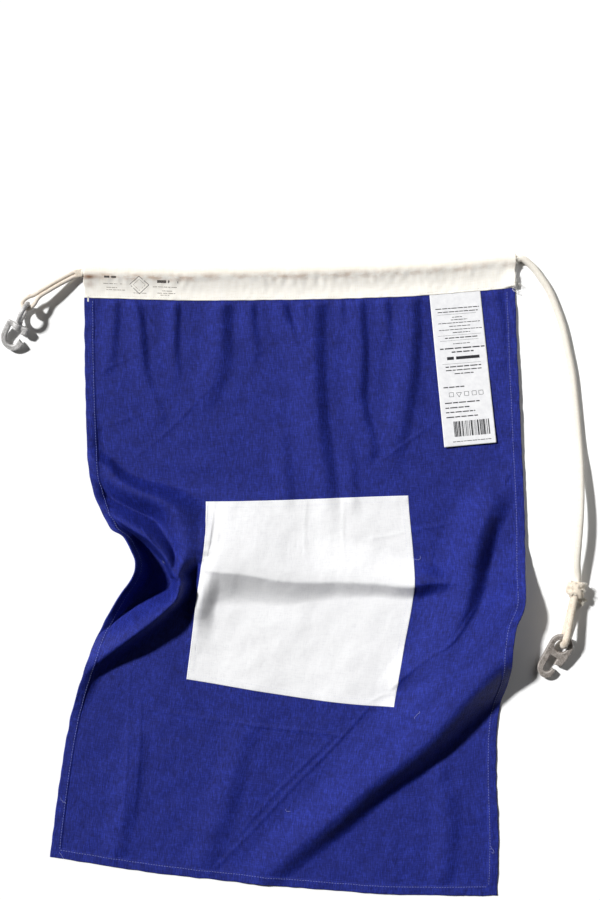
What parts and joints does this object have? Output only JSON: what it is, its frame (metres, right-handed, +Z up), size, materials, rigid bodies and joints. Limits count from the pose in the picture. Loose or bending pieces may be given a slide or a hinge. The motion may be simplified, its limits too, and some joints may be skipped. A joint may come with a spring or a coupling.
{
  "type": "signal flag waist apron",
  "caption": "Cotton waist apron made like a signal flag, with a sewn square patch, a canvas rope sleeve and a rope that ends in flag clips.",
  "frame": {"origin": "middle of the cloth's footprint, on the surface that the apron lies on", "axes": "+X towards the wearer's-left end of the heading (the fixed clip), +Y from the bottom hem to the heading, +Z up out of the cloth's face"},
  "size_m": [0.7876, 0.86, 0.0491],
  "materials": {
    "blue_cotton": "matt plain-weave cotton bunting",
    "white_cotton": "matt plain-weave cotton",
    "canvas": "unbleached canvas, faint brown stains",
    "label_satin": "smooth satin tape",
    "blue_thread": "sewing thread",
    "white_thread": "sewing thread",
    "cotton_rope": "solid braided cotton",
    "cast_metal": "worn cast metal, dull nickel"
  },
  "bodies": {
    "apron": {"panel": "blue_cotton", "patch": "white_cotton", "heading": "canvas", "care_label": "label_satin", "thread_hem": "blue_thread", "thread_patch": "blue_thread", "thread_heading": "white_thread", "bartack_left": "white_thread"},
    "rope": {"rope_sleeve_run": "cotton_rope", "rope_left_tail": "cotton_rope", "rope_left_eye": "cotton_rope", "left_seizing": "white_thread", "rope_right_tail": "cotton_rope", "rope_right_loop": "cotton_rope", "rope_knot": "cotton_rope", "rope_frayed_end": "cotton_rope"},
    "swivel_eye": {"swivel_eye": "cast_metal"},
    "swivel_hook": {"swivel_hook": "cast_metal"},
    "fixed_clip": {"fixed_clip": "cast_metal"}
  },
  "joints": [
    {"name": "rope_slide", "type": "slide", "parent": "apron", "child": "rope", "axis": [1, 0, 0], "range_m": [-0.006, 0]},
    {"name": "swivel_eye_swing", "type": "hinge", "parent": "rope", "child": "swivel_eye", "pos_m": [-0.34533, 0.36225, 0.0206], "axis": [-0.1108, -0.2198, 0.9692], "range_deg": [-60, 60]},
    {"name": "hook_spin", "type": "hinge", "parent": "swivel_eye", "child": "swivel_hook", "pos_m": [-0.3585, 0.33611, 0.01317], "axis": [-0.4363, -0.8655, -0.2461], "continuous": true},
    {"name": "fixed_clip_swing", "type": "hinge", "parent": "rope", "child": "fixed_clip", "pos_m": [0.3704, -0.0821, 0.0152], "axis": [-0.896, 0.444, 0], "range_deg": [0, 75]}
  ]
}
